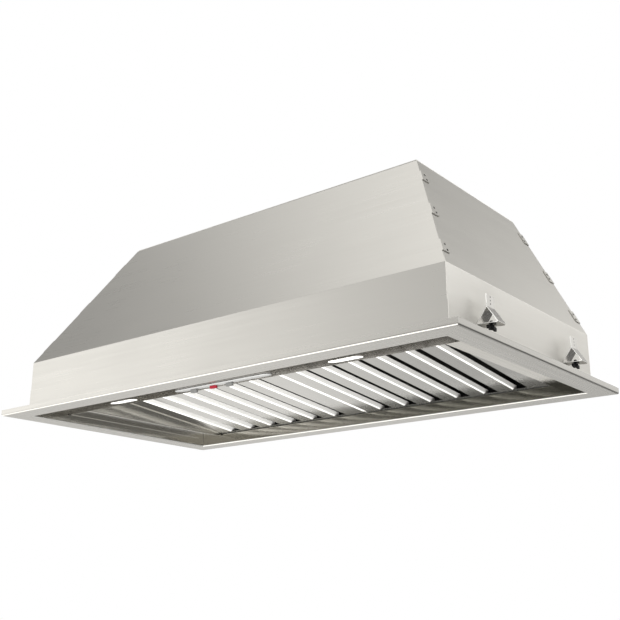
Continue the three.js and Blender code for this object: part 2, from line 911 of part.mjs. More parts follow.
const nutFoot = bodyHeight + seam;
const nutTop = nutFoot + glandNutHeight;
const lockNutTop = flangeTop - sheet - seam;
add(
  "cable_gland",
  turnedAboutZ(
    [
      [glandBore, lockNutTop - lockNutHeight],
      [lockNutRadius, lockNutTop - lockNutHeight],
      [lockNutRadius, lockNutTop],
      [glandRadius, lockNutTop],
      [glandRadius, nutFoot],
      [glandNut, nutFoot],
      [glandNut, nutTop],
      [glandRadius + millimetre, nutTop + glandDome],
      [glandBore, nutTop + glandDome],
    ],
    12,
  ).translate(boxX, boxY, 0),
  black,
);

const housingTop = riserTop + seam + sheet;
const conduitEndY = frontY + conduitEnd;
const frontSlope = new THREE.Vector2(frontSetback, bodyHeight - bandHeight);
const behindSlope = conduitStops.map((fraction) => {
  const hang = new THREE.Vector2(frontSlope.y, -frontSlope.x).setLength(conduitHang);
  const stop = new THREE.Vector2(frontY, bandHeight).addScaledVector(frontSlope, fraction).add(hang);
  return new THREE.Vector3(boxX, stop.x, stop.y);
});
const conduitPath = new THREE.CatmullRomCurve3([
  new THREE.Vector3(boxX, boxFrontY - seam, conduitZ),
  new THREE.Vector3(boxX, boxFrontY - conduitLead, conduitZ),
  ...behindSlope,
  new THREE.Vector3(boxX, conduitEndY, housingTop + conduitDrop),
  new THREE.Vector3(boxX, conduitEndY, housingTop + seam),
]);
const conduitSection = new THREE.Shape(
  circle(conduitRadius, 0, 0, 8).map(([x, y]) => new THREE.Vector2(x, y)),
);
add(
  "wiring_conduit",
  outward(
    new THREE.ExtrudeGeometry(conduitSection, { steps: 24, extrudePath: conduitPath }),
  ),
  zinc,
);

const motorX = motorFace - motorLength / 2;
const motorTop = blowerZ + motorRadius + seam;
const leadX = boxX + boxWidth / 2 - leadInset;
const leadPath = new THREE.CatmullRomCurve3([
  new THREE.Vector3(leadX, boxFrontY - seam, conduitZ),
  new THREE.Vector3(leadX, boxFrontY - leadRun, conduitZ),
  new THREE.Vector3(motorX, blowerY, motorTop + leadRise),
  new THREE.Vector3(motorX, blowerY, motorTop),
]);
const leadSection = new THREE.Shape(
  circle(leadRadius, 0, 0, 8).map(([x, y]) => new THREE.Vector2(x, y)),
);
add(
  "motor_lead",
  outward(new THREE.ExtrudeGeometry(leadSection, { steps: 12, extrudePath: leadPath })),
  black,
);

// ---------------------------------------------------------------- recess panels

const rightFiller = join(
  alongY(
    foldedSheet([
      [bayHalfWidth, riserTop],
      [bayHalfWidth, recessDepth],
      [ringX, recessDepth],
      [ringX, panelFoot],
    ]),
    riserY + seam,
    ringY - seam,
  ),
  block(
    ringX,
    ringX + sheet,
    -ringY + seam,
    riserY + seam + millimetre,
    panelFoot,
    recessDepth - sheet,
  ),
);
add("right_side_filler", rightFiller, steel);
add("left_side_filler", mirrored(rightFiller), steel);

const innerBackY = backY - wallInset;
add(
  "rear_filter_rail",
  alongX(
    foldedSheet([
      [innerBackY, railTop - railFlange],
      [innerBackY, railTop],
      [ringY, railTop],
      [ringY, panelFoot],
    ]),
    -ringX + seam,
    ringX - seam,
  ),
  steel,
);

add(
  "control_housing",
  alongX(
    foldedSheet([
      [riserY, housingTop],
      [frontY + wallInset, housingTop],
      [frontY + wallInset, housingTop - riserFold],
    ]),
    -ringX + seam,
    ringX - seam,
  ),
  zinc,
);

// ---------------------------------------------------------------- control strip, lamps and controls

// The strip's own frame: x across, y up the strip from its front edge, z square to it.
const strip = new THREE.Group();
strip.position.set(0, -ringY, panelFoot);
strip.rotation.x = stripTilt;
strip.updateMatrix();
hood.add(strip);

const onStrip = (geometry) => geometry.applyMatrix4(strip.matrix);
const behind = sheet + seam; // height of what rests on the strip's upper face
const lampOutline = (grow) =>
  roundedRectangle(lampWidth + 2 * grow, lampDepth + 2 * grow, lampCorner + grow);

function track(x, travel, grow) {
  const width = travel + trackWidth + 2 * grow;
  return roundedRectangle(width, trackWidth + 2 * grow, trackWidth / 2 + grow, x + travel / 2, 0, 3);
}

const indicatorHole = (grow, x = indicatorX) =>
  roundedRectangle(indicatorWidth + 2 * grow, indicatorDepth + 2 * grow, millimetre + grow, x);
const holesUnder = bezelThickness + bezelBevel; // how far the cutters reach past the strip
const controlHoles = [
  track(lightKnobX, lightTravel, stemClearance),
  track(fanKnobX, fanTravel, stemClearance),
  indicatorHole(stemClearance),
];
const punches = controlHoles.map((outline) =>
  alongZ(outline, -2 * holesUnder, 2 * holesUnder).translate(0, stripCentre, 0),
);
const lampPunch = alongZ(lampOutline(seam), -holesUnder, holesUnder);
const lampPunches = [-1, 1].map((side) => lampPunch.clone().translate(side * lampX, lampMiddle, 0));

const lightPanel = alongX(
  foldedSheet([
    [-ringY, panelFoot],
    [riserY, recessDepth],
    [riserY, riserTop],
    [riserY - riserFold, riserTop],
  ]),
  -ringX + seam,
  ringX - seam,
);
const stripCutters = [...punches, ...lampPunches].map((punch) => onStrip(punch.clone()));
add("light_panel", cut(lightPanel, ...stripCutters), steel);

// The bezel is the lower half of a plate with round ends and a round edge.
const bezelCore = roundedRectangle(
  bezelWidth - 2 * bezelBevel,
  bezelDepth - 2 * bezelBevel,
  bezelDepth / 2 - bezelBevel,
  0,
  0,
  6,
);
const bezelPlate = extruded(bezelCore, bezelThickness, [], {
  bevelEnabled: true,
  bevelSize: bezelBevel,
  bevelThickness: bezelBevel,
  bevelSegments: 4,
});
bezelPlate.translate(0, stripCentre, -bezelThickness - seam + bezelBevel);
const belowStrip = block(
  -bezelWidth,
  bezelWidth,
  stripCentre - bezelDepth,
  stripCentre + bezelDepth,
  -2 * bezelThickness - seam,
  -seam,
);
add("control_bezel", cut(common(bezelPlate, belowStrip), ...punches), silver, strip);

const knobFace = -bezelThickness - 2 * seam;
const footLift = behind + millimetre;

// A sliding knob: the grip below the bezel, its stem through the track and its foot behind the strip.
function slideKnob(x) {
  const gripOutline = roundedRectangle(knobWidth, knobDepth, knobCorner);
  const grip = alongZ(gripOutline, knobFace - knobHeight, knobFace);
  const footTop = footLift + knobFootSheet;
  const stemOutline = roundedRectangle(trackWidth, trackWidth - stemClearance, stemClearance, 0, 0, 1);
  const stem = alongZ(stemOutline, knobFace - knobHeight / 2, footTop);
  const foot = alongZ(roundedRectangle(knobFoot, knobFoot, millimetre, 0, 0, 1), footLift, footTop);
  return join(grip, stem, foot).translate(x, stripCentre, 0);
}
add("light_switch_knob", slideKnob(lightKnobX), grey, strip);
add("fan_speed_knob", slideKnob(fanKnobX), grey, strip);

const lensFace = alongZ(indicatorHole(lensBorder, 0), knobFace - lensRise, knobFace);
const lensStem = alongZ(indicatorHole(0, 0), knobFace - lensRise / 2, behind);
add(
  "indicator_lens",
  join(lensFace, lensStem).translate(indicatorX, stripCentre, 0),
  red,
  strip,
);

const posts = [-1, 1].flatMap((sx) =>
  [-1, 1].map((sy) =>
    turnedAboutZ(rod(postRadius, behind, boardLift + boardSheet / 2), 8).translate(
      sx * (boardWidth / 2 - postInset),
      stripCentre + sy * (boardDepth / 2 - postInset),
      0,
    ),
  ),
);
const boardPlate = block(
  -boardWidth / 2,
  boardWidth / 2,
  stripCentre - boardDepth / 2,
  stripCentre + boardDepth / 2,
  boardLift,
  boardLift + boardSheet,
);
add("control_board", join(boardPlate, ...posts), green, strip);

const driverX = (bezelWidth / 2 + lampX - lampWidth / 2) / 2;
add(
  "lamp_driver",
  extruded(roundedRectangle(driverWidth, driverDepth, driverCorner), driverHeight)
    .translate(driverX, stripCentre, behind),
  black,
  strip,
);


// The board at the top of each lamp's can, with its rows of light-emitting diodes facing down.
function lampBoard() {
  const top = behind + lampCan - canWall - seam;
  const face = top - ledBoard;
  const plate = alongZ(lampOutline(-ledGap), face, top);
  const leds = Array.from({ length: ledColumns * ledRows }, (_, i) => {
    const x = ((i % ledColumns) - (ledColumns - 1) / 2) * ledPitch;
    const y = (Math.floor(i / ledColumns) - (ledRows - 1) / 2) * ledPitch;
    const half = ledSize / 2;
    return block(x - half, x + half, y - half, y + half, face - ledHeight, face + ledBoard / 2);
  });
  return join(plate, ...leds).translate(0, lampMiddle, 0);
}

[
  ["left", -1],
  ["right", 1],
].forEach(([side, sign]) => {
  const x = sign * lampX;
  const rim = alongZ(lampOutline(canFlange), behind, behind + canWall, [lampOutline(0)]);
  const can = alongZ(lampOutline(canWall), behind, behind + lampCan);
  const hollow = alongZ(lampOutline(0), behind - 1, behind + lampCan - canWall);
  const housing = cut(join(rim, can), hollow).translate(x, lampMiddle, 0);
  add(side + "_lamp_housing", housing, zinc, strip);
  const lens = alongZ(lampOutline(0), sheet - lensThickness, sheet);
  add(side + "_lamp_lens", lens.translate(x, lampMiddle, 0), opal, strip);
  add(side + "_lamp_board", lampBoard().translate(x, 0, 0), boardWhite, strip);
});

// ---------------------------------------------------------------- baffle filters

// The filter's own frame: x across, y back from the tilt line, z square to its lower face.
const slotXs = Array.from(
  { length: slotCount },
  (_, i) => slotShift + (i - (slotCount - 1) / 2) * slotPitch,
);

// The slotted lower sheet: flats with upturned edges between the slots, and a deep outer rim.
function filterTray() {
  const half = filterWidth / 2;
  const edges = [-half, ...slotXs.flatMap((x) => [x - slotWidth / 2, x + slotWidth / 2]), half];
  const flats = Array.from({ length: slotCount + 1 }, (_, i) => {
    const [left, right] = [edges[2 * i], edges[2 * i + 1]];
    const leftTop = i === 0 ? filterHeight : slotWall;
    const rightTop = i === slotCount ? filterHeight : slotWall;
    const section = foldedSheet(
      [
        [left, leftTop],
        [left, 0],
        [right, 0],
        [right, rightTop],
      ],
      filterSheet,
      foldRadius,
      filterFold,
    );
    return alongY(section, -filterReach, filterTail);
  });
  const rearEnd = foldedSheet(
    [
      [filterTail - filterMargin, 0],
      [filterTail, 0],
      [filterTail, filterHeight],
    ],
    filterSheet,
    foldRadius,
    filterFold,
  );
  const frontEnd = foldedSheet(
    [
      [-filterReach, filterHeight],
      [-filterReach, 0],
      [-filterReach + filterMargin, 0],
    ],
    filterSheet,
    foldRadius,
    filterFold,
  );
  return join(alongX(rearEnd, -half, half), alongX(frontEnd, -half, half), ...flats);
}

// The upper sheet: an upside-down channel over each slot, so that the air turns twice.
function filterBaffles() {
  const top = filterHeight - filterSheet;
  const inside = filterSheet + seam;
  const half = filterWidth / 2 - inside;
  const channels = slotXs.map((x) => {
    const section = foldedSheet(
      [
        [x + baffleWidth / 2, top - baffleDrop],
        [x + baffleWidth / 2, top],
        [x - baffleWidth / 2, top],
        [x - baffleWidth / 2, top - baffleDrop],
      ],
      filterSheet,
      foldRadius,
      filterFold,
    );
    return alongY(section, -filterReach + 2 * inside, filterTail - 2 * inside);
  });
  const stripTop = top - (filterSheet - filterStrip) / 2;
  const strips = [
    [-filterReach + inside, -filterReach + filterMargin],
    [filterTail - filterMargin, filterTail - inside],
  ].map(([y0, y1]) => block(-half, half, y0, y1, stripTop - filterStrip, stripTop));
  return join(...strips, ...channels);
}

const tray = filterTray();
const baffles = filterBaffles();
[
  ["left", -1],
  ["right", 1],
].forEach(([side, sign]) => {
  const filter = new THREE.Group();
  filter.position.set((sign * (filterWidth + filterSplit)) / 2, pivotY, pivotZ);
  filter.rotation.x = -tilt;
  hood.add(filter);
  add(side + "_filter_tray", tray, filterSteel, filter);
  add(side + "_filter_baffles", baffles, filterSteel, filter);

  // A leaf on the riser that snaps against the filter's front wall.
  const foot = riserY + seam;
  const bottom = riserTop - catchHeight;
  const leaf = foldedSheet(
    [
      [foot + 2 * catchSheet, bottom],
      [foot + catchBulge, bottom + catchLip],
      [foot + catchSheet, riserTop - catchFlat],
      [foot + catchSheet, riserTop],
    ],
    catchSheet,
    catchFold,
  );
  const x = filter.position.x;
  add(side + "_filter_catch", alongX(leaf, x - catchWidth / 2, x + catchWidth / 2), springSteel);
});

// ---------------------------------------------------------------- side clips and their wing screws

const clipX = sideX + seam;
const baseRightX = clipX + clipReach;
const baseRightZ = clipFootZ - clipDrop;
const apexX = clipX + clipApexX;
const apexZ = clipFootZ + clipApexZ;
const screwX = clipX + clipReach / 2;
const baseZ = clipFootZ - clipDrop / 2;

function clipSolid(y) {
  const outer = foldedSheet(
    [
      [clipX, clipFootZ],
      [baseRightX, baseRightZ],
      [apexX + clipSheet / 2, apexZ],
      [apexX + clipSheet / 2, apexZ + clipTab],
    ],
    clipSheet,
    clipFold,
  );
  const leg = foldedSheet(
    [
      [apexX, apexZ],
      [clipX, clipFootZ],
      [clipX + tongueWidth / 2, clipFootZ],
    ],
    clipSheet,
    clipFold,
  );
  const tongue = foldedSheet(
    [
      [clipX - sheet - tongueLength, clipFootZ - tongueHook],
      [clipX - sheet - tongueLength, clipFootZ + clipSheet],
      [clipX + tongueWidth / 2, clipFootZ + clipSheet],
    ].reverse(),
    clipSheet,
    clipFold,
  );
  const hole = turnedAboutZ(rod(screwRadius + seam, baseZ - screwTip, baseZ + screwTip), 12);
  const half = clipWidth / 2;
  return cut(
    join(
      alongY(outer, y - half, y + half),
      alongY(leg, y - half, y + half),
      alongY(tongue, y - tongueWidth / 2, y + tongueWidth / 2),
    ),
    hole.translate(screwX, y, 0),
  );
}

function wingScrew(y) {
  const hubTop = baseRightZ - 2 * seam;
  const hubBottom = hubTop - wingHeight;
  const shaft = turnedAboutZ(
    [
      [0, hubBottom],
      [hubRadius, hubBottom],
      [hubRadius, hubTop],
      [screwRadius, hubTop],
      [screwRadius, baseZ + screwTip],
      [0, baseZ + screwTip],
    ],
    12,
  );
  const halfSpan = wingSpan / 2;
  const wingFoot = hubBottom - wingSag;
  const wings = alongX(
    [
      [-halfSpan, wingFoot],
      [-halfSpan + wingCorner, wingFoot],
      [0, hubBottom + wingArch],
      [halfSpan - wingCorner, wingFoot],
      [halfSpan, wingFoot],
      [halfSpan, hubTop - wingCorner / 2],
      [halfSpan - wingCorner, hubTop],
      [-halfSpan + wingCorner, hubTop],
      [-halfSpan, hubTop - wingCorner / 2],
    ],
    -wingSheet / 2,
    wingSheet / 2,
  );
  return join(shaft, wings).translate(screwX, y, 0);
}

["front", "rear"].forEach((end, i) => {
  const clip = clipSolid(clipYs[i]);
  const screw = wingScrew(clipYs[i]);
  add("right_" + end + "_clip", clip, springSteel);
  add("left_" + end + "_clip", mirrored(clip), springSteel);
  add("right_" + end + "_wing_screw", screw, black);
  add("left_" + end + "_wing_screw", mirrored(screw), black);
});

export default hood;
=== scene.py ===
"""The looks of a range hood insert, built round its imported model. Metres, +Z up, front towards -Y."""

import math
from functools import partial

import bmesh
import bpy
from mathutils import Matrix, Vector


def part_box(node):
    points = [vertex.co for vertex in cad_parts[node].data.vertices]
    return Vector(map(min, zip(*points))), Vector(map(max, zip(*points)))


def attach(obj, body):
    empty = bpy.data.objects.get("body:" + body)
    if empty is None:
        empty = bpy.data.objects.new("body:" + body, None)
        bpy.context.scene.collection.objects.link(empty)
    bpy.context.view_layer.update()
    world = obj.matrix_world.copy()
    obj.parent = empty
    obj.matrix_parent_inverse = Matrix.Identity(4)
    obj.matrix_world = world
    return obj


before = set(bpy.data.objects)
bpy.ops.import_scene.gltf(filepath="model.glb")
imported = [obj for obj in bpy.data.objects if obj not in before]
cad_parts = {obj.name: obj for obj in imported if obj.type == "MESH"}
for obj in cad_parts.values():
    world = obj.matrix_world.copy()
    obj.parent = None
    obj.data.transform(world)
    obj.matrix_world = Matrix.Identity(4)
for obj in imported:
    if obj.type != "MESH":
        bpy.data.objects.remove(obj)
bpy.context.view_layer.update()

MM = 0.001

# ---------------------------------------------------------------- camera, floor and light

# The camera is fitted to the corners and edges of the hood in the photo. Lens and sensor are in mm.
CAMERA_PLACE = Vector((0.9433, -1.1408, -0.2995))
CAMERA_TARGET = Vector((0.0497, -0.0199, 0.1447))
CAMERA_LENS = 55.04
CAMERA_SENSOR = 36.0

FLOOR_Z = -1.6
FLOOR_RADIUS = 4.6
FLOOR_COLOUR = (0.93, 0.93, 0.925)
FLOOR_GLOW = 0.12  # emission strength of its paper
LIGHT_TARGET = Vector((0.0, 0.0, 0.1))  # inside the hood
BACKGROUND = (1.0, 1.0, 1.0, 1.0)
STUDIO_COLOUR = (1.0, 0.985, 0.955, 1.0)
SKY_LEVEL = 0.84  # radiance that the metal reflects where no soft box or flag is
DARKEST = 0.02  # the level never falls below this

# Soft boxes and flags of the studio: direction, inner and outer angle in degrees, change of level.
STUDIO = (
    ((-0.80, 0.00, 0.60), 4.0, 40.0, -0.54),  # flag that shades the slope's left end
    ((-0.40, -0.05, 0.90), 4.0, 34.0, 0.20),  # wide soft box over the slope
    ((-0.45, -0.10, 0.87), 4.0, 18.0, 0.40),  # brighter middle of that box
    ((-0.90, -0.45, 0.20), 4.0, 34.0, 0.35),  # wide soft box for the front band
    ((-0.75, -0.60, 0.25), 4.0, 20.0, 0.25),  # brighter patch in that box
    ((-0.40, -0.85, 0.30), 4.0, 34.0, -0.25),  # flag for the band's right end
    ((-0.18, 0.73, 0.65), 4.0, 26.0, -0.60),  # flag for the side slope's lower part
    ((0.10, 0.90, 0.40), 4.0, 26.0, 0.10),  # weak soft box for its upper part
    ((0.50, 0.80, 0.30), 4.0, 26.0, 0.72),  # soft box for the side band
    ((-0.85, 0.50, -0.15), 4.0, 30.0, -0.04),  # flag for the flange's left end
    ((-0.60, 0.75, -0.25), 4.0, 26.0, 0.10),  # soft box for the flange's middle
    ((-0.30, 0.80, -0.50), 4.0, 22.0, -0.50),  # flag under the right filter
    ((-0.75, 0.55, -0.40), 4.0, 26.0, -0.10),  # flag under the left filter
    ((-0.50, 0.82, 0.27), 4.0, 19.0, -0.62),  # flag over the dark horizon
    ((-0.80, 0.60, 0.06), 6.0, 14.0, -0.60),  # dark horizon behind the hood, left end
    ((-0.66, 0.75, 0.06), 6.0, 14.0, -0.60),  # and on to the right
    ((-0.50, 0.86, 0.06), 6.0, 14.0, -0.60),  # and further
    ((-0.34, 0.94, 0.06), 6.0, 14.0, -0.60),  # to its right end
    ((-0.60, -0.30, -0.74), 10.0, 34.0, 1.50),  # strip light for the front lip's fold
    ((-0.45, 0.45, -0.77), 4.0, 22.0, 0.40),  # strip light for the folds of the slots
    ((-0.40, -0.85, -0.33), 8.0, 24.0, -0.60),  # flag for the mirror image in the rail
    ((0.30, 0.87, -0.38), 10.0, 24.0, -0.60),  # flag for the clips' inner faces
    ((0.82, 0.54, -0.20), 8.0, 34.0, -0.65),  # flag for the left wall of the recess
)


def add_camera():
    data = bpy.data.cameras.new("camera")
    data.lens = CAMERA_LENS
    data.sensor_width = CAMERA_SENSOR
    camera = bpy.data.objects.new("camera", data)
    camera.location = CAMERA_PLACE
    camera.rotation_euler = (CAMERA_TARGET - CAMERA_PLACE).to_track_quat("-Z", "Y").to_euler()
    bpy.context.scene.collection.objects.link(camera)
    bpy.context.scene.camera = camera


def set_input(tree, socket, value):
    """Links another node's output to an input, or gives the input a plain value."""
    if isinstance(value, bpy.types.NodeSocket):
        tree.links.new(value, socket)
    else:
        socket.default_value = value


def math_node(tree, operation, *values):
    """A math node whose inputs are outputs of other nodes or numbers. Returns its output."""
    made = tree.nodes.new("ShaderNodeMath")
    made.operation = operation
    for socket, value in zip(made.inputs, values):
        set_input(tree, socket, value)
    return made.outputs[0]


def smooth_range(tree, value, low, high, to_low=0.0, to_high=1.0):
    """Goes smoothly from one level to the other as the value goes from low to high, or down to high."""
    made = tree.nodes.new("ShaderNodeMapRange")
    made.interpolation_type = "SMOOTHSTEP"
    tree.links.new(value, made.inputs["Value"])
    made.inputs["From Min"].default_value = low
    made.inputs["From Max"].default_value = high
    made.inputs["To Min"].default_value = to_low
    made.inputs["To Max"].default_value = to_high
    return made.outputs["Result"]


def studio_lobe(tree, direction, centre, inner, outer, change):
    """The change of level by one soft box or flag, which fades out from its inner to its outer angle."""
    dot = tree.nodes.new("ShaderNodeVectorMath")
    dot.operation = "DOT_PRODUCT"
    tree.links.new(direction, dot.inputs[0])
    dot.inputs[1].default_value = Vector(centre).normalized()
    edge = math.cos(math.radians(outer))
    full = math.cos(math.radians(inner))
    return smooth_range(tree, dot.outputs["Value"], edge, full, 0.0, change)


def add_world():
    """White to the camera and through clear pieces, and a soft studio with boxes and flags to the rest."""
    world = bpy.data.worlds.new("studio")
    world.use_nodes = True
    tree = world.node_tree
    tree.nodes.clear()
    direction = tree.nodes.new("ShaderNodeTexCoord").outputs["Generated"]
    level = SKY_LEVEL
    for row in STUDIO:
        level = math_node(tree, "ADD", level, studio_lobe(tree, direction, *row))
    level = math_node(tree, "MAXIMUM", level, DARKEST)
    studio = tree.nodes.new("ShaderNodeBackground")
    studio.inputs["Color"].default_value = STUDIO_COLOUR
    tree.links.new(level, studio.inputs["Strength"])
    plain = tree.nodes.new("ShaderNodeBackground")
    plain.inputs["Color"].default_value = BACKGROUND
    plain.inputs["Strength"].default_value = 1.0
    path = tree.nodes.new("ShaderNodeLightPath").outputs
    seen = math_node(tree, "MAXIMUM", path["Is Camera Ray"], path["Is Transmission Ray"])
    mix = tree.nodes.new("ShaderNodeMixShader")
    tree.links.new(seen, mix.inputs[0])
    tree.links.new(studio.outputs[0], mix.inputs[1])
    tree.links.new(plain.outputs[0], mix.inputs[2])
    output = tree.nodes.new("ShaderNodeOutputWorld")
    tree.links.new(mix.outputs[0], output.inputs["Surface"])
    bpy.context.scene.world = world


def add_floor():
    """A pale round floor, far below the hanging hood."""
    mesh = bpy.data.meshes.new("floor")
    shape = bmesh.new()
    bmesh.ops.create_circle(shape, cap_ends=True, segments=96, radius=FLOOR_RADIUS)
    shape.to_mesh(mesh)
    shape.free()
    floor = bpy.data.objects.new("floor", mesh)
    floor.location.z = FLOOR_Z
    bpy.context.scene.collection.objects.link(floor)
    glow = {"Emission_Color": BACKGROUND, "Emission_Strength": FLOOR_GLOW}
    paper = new_material("floor_paper", FLOOR_COLOUR, 0.9, Specular_IOR_Level=0.1, **glow)[0]
    mesh.materials.append(paper)
    floor.visible_glossy = False


def add_light(name, place, size, power):
    """A round lamp that shines at the hood and shows in no reflection."""
    data = bpy.data.lights.new(name, "AREA")
    data.shape = "DISK"
    data.size = size
    data.energy = power
    light = bpy.data.objects.new(name, data)
    light.location = place
    light.rotation_euler = (LIGHT_TARGET - Vector(place)).to_track_quat("-Z", "Y").to_euler()
    light.visible_glossy = False
    bpy.context.scene.collection.objects.link(light)


# ---------------------------------------------------------------- sizes, most of them from the frame

FLANGE_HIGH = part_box("trim_flange")[1]
TOP_LOW, TOP_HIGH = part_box("top_plate")
SHEET = 1.2 * MM
RETURN_START = 33.0 * MM  # from the flange's outer edge, just before it bends up round the opening
OPENING_HALF_WIDTH = FLANGE_HIGH.x - RETURN_START
OPENING_HALF_DEPTH = FLANGE_HIGH.y - RETURN_START
LIP_START = OPENING_HALF_WIDTH + 20.0 * MM  # beyond it, upright faces belong to the outer lip
BAND_HEIGHT = 92.5 * MM  # where the upright bands bend into the slopes
SATIN_TOP = BAND_HEIGHT - 0.5 * MM  # where the band's satin finish ends

# ---------------------------------------------------------------- materials

ALONG_X, ALONG_Y, ALONG_Z = range(3)  # which way a grain runs
FINE_GRAIN = (1500.0, 20.0, 2.0)  # cycles per metre across and along the grain, and detail
COARSE_GRAIN = (260.0, 5.0, 3.0)
FINE_SHARE = 0.4  # of the fine grain that is added to the coarse grain
STREAK_RANGE = (0.35, 1.05)  # of the added grains that makes streaks from pale to dark
GRAIN_DEPTH = 0.0007  # millimetres
SHALLOW_GRAIN = 0.0002
SMUDGE = 0.02  # how much darker a sheet's darkest streaks are
SPANGLE_SHADE = 0.22  # and how much darker the darkest zinc crystals
STEEL_SPREAD = 0.03  # how far the roughness varies to either side of its middle value
ZINC_SPREAD = 0.08
PLASTIC_SPREAD = 0.04
STEEL_CLOUD = 9.0  # cycles per metre
ZINC_CLOUD = 14.0
PLASTIC_CLOUD = 25.0
SPANGLE = 90.0  # zinc crystals per metre
SPARK_TEXTURE = 1400.0  # cycles per metre on moulded plastic
SURFACE_RELIEF = 0.02  # millimetres, on zinc and plastic
NOISE_ROUGHNESS = 0.55


def new_material(name, colour, roughness, metallic=0.0, **sockets):
    """A Principled material. Returns it with its node tree and shader."""
    material = bpy.data.materials.new(name)
    material.use_nodes = True
    tree = material.node_tree
    surface = tree.nodes["Principled BSDF"]
    surface.inputs["Base Color"].default_value = (*colour, 1.0)
    surface.inputs["Roughness"].default_value = roughness
    surface.inputs["Metallic"].default_value = metallic
    for socket, value in sockets.items():
        surface.inputs[socket.replace("_", " ")].default_value = value
    return material, tree, surface


def noise(tree, scale, detail):
    """Noise over object coordinates, with its own scale along each axis."""
    place = tree.nodes.new("ShaderNodeTexCoord")
    stretch = tree.nodes.new("ShaderNodeMapping")
    stretch.inputs["Scale"].default_value = scale
    tree.links.new(place.outputs["Object"], stretch.inputs["Vector"])
    texture = tree.nodes.new("ShaderNodeTexNoise")
    texture.inputs["Scale"].default_value = 1.0
    texture.inputs["Detail"].default_value = detail
    texture.inputs["Roughness"].default_value = NOISE_ROUGHNESS
    tree.links.new(stretch.outputs["Vector"], texture.inputs["Vector"])
    return texture.outputs["Fac"]


def even_noise(tree, scale, detail):
    """Noise with the same scale along each axis."""
    return noise(tree, (scale, scale, scale), detail)


def grain_noise(tree, grain, across, along, detail):
    """Noise drawn out along the grain."""
    scale = [across] * 3
    scale[grain] = along
    return noise(tree, scale, detail)


def blend(tree, factor, first, second, kind="FLOAT"):
    """Goes from the first value or colour to the second as the factor goes from 0 to 1."""
    mix = tree.nodes.new("ShaderNodeMix")
    mix.data_type = kind
    tree.links.new(factor, mix.inputs["Factor"])
    set_input(tree, mix.inputs["A"], first)
    set_input(tree, mix.inputs["B"], second)
    return mix.outputs["Result"]


def varied_colour(tree, colour, factor, darker):
    """The given colour, going to a darker shade of it as the factor goes from 0 to 1."""
    shade = [part * (1.0 - darker) for part in colour]
    return blend(tree, factor, (*colour, 1.0), (*shade, 1.0), "RGBA")


def varied_roughness(tree, factor, middle, spread, low=0.2, high=0.8):
    """A roughness that goes from below its middle value to above it as the factor goes from low to high."""
    return smooth_range(tree, factor, low, high, middle - spread, middle + spread)


def add_bump(tree, surface, height, distance):
    """Gives the surface a fine relief. The distance is in mm."""
    bump = tree.nodes.new("ShaderNodeBump")
    bump.inputs["Distance"].default_value = distance * MM
    tree.links.new(height, bump.inputs["Height"])
    tree.links.new(bump.outputs["Normal"], surface.inputs["Normal"])


def brushed_steel(name, colour, roughness, grain, depth=GRAIN_DEPTH, finishes_and_painted_light=(), crossed=None, **sockets):
    """Rolled stainless sheet with its grain along X, Y or Z.

    Each finish, whether a real one or painted light and shade, has the mask of where it lies, its colour,
    how metallic it is and what it adds to the roughness. Where the mask crossed is 1, the grain lies along
    Y instead.
    """
    material, tree, surface = new_material(name, colour, roughness, 1.0, **sockets)
    fine = grain_noise(tree, grain, *FINE_GRAIN)
    coarse = grain_noise(tree, grain, *COARSE_GRAIN)
    if crossed:
        where = crossed(tree)
        fine = blend(tree, where, fine, grain_noise(tree, ALONG_Y, *FINE_GRAIN))
        coarse = blend(tree, where, coarse, grain_noise(tree, ALONG_Y, *COARSE_GRAIN))
    streaks = smooth_range(tree, math_node(tree, "MULTIPLY_ADD", fine, FINE_SHARE, coarse), *STREAK_RANGE)
    cloud = even_noise(tree, STEEL_CLOUD, 3.0)
    shade = math_node(tree, "MULTIPLY", math_node(tree, "ADD", streaks, cloud), 0.5)
    base = varied_colour(tree, colour, shade, SMUDGE)
    rough = varied_roughness(tree, shade, roughness, STEEL_SPREAD)
    metallic = 1.0
    for mask, other, metal, rougher in finishes_and_painted_light:
        lies = mask(tree)
        base = blend(tree, lies, base, (*other, 1.0), "RGBA")
        metallic = math_node(tree, "MULTIPLY", metallic, smooth_range(tree, lies, 0.0, 1.0, 1.0, metal))
        rough = math_node(tree, "ADD", rough, math_node(tree, "MULTIPLY", lies, rougher))
    set_input(tree, surface.inputs["Base Color"], base)
    set_input(tree, surface.inputs["Metallic"], metallic)
    set_input(tree, surface.inputs["Roughness"], rough)
    add_bump(tree, surface, fine, depth)
    return material


def galvanised(name, colour, roughness):
    """Zinc-coated sheet with a faint spangle."""
    material, tree, surface = new_material(name, colour, roughness, 1.0)
    place = tree.nodes.new("ShaderNodeTexCoord")
    cells = tree.nodes.new("ShaderNodeTexVoronoi")
    cells.inputs["Scale"].default_value = SPANGLE
    tree.links.new(place.outputs["Object"], cells.inputs["Vector"])
    tone = tree.nodes.new("ShaderNodeSeparateColor")
    tree.links.new(cells.outputs["Color"], tone.inputs[0])
    cloud = even_noise(tree, ZINC_CLOUD, 3.0)
    shade = math_node(tree, "MULTIPLY", math_node(tree, "ADD", tone.outputs[0], cloud), 0.5)
    rough = varied_roughness(tree, tone.outputs[1], roughness, ZINC_SPREAD, 0.0, 1.0)
    set_input(tree, surface.inputs["Base Color"], varied_colour(tree, colour, shade, SPANGLE_SHADE))
    set_input(tree, surface.inputs["Roughness"], rough)
    add_bump(tree, surface, cloud, SURFACE_RELIEF)
    return material


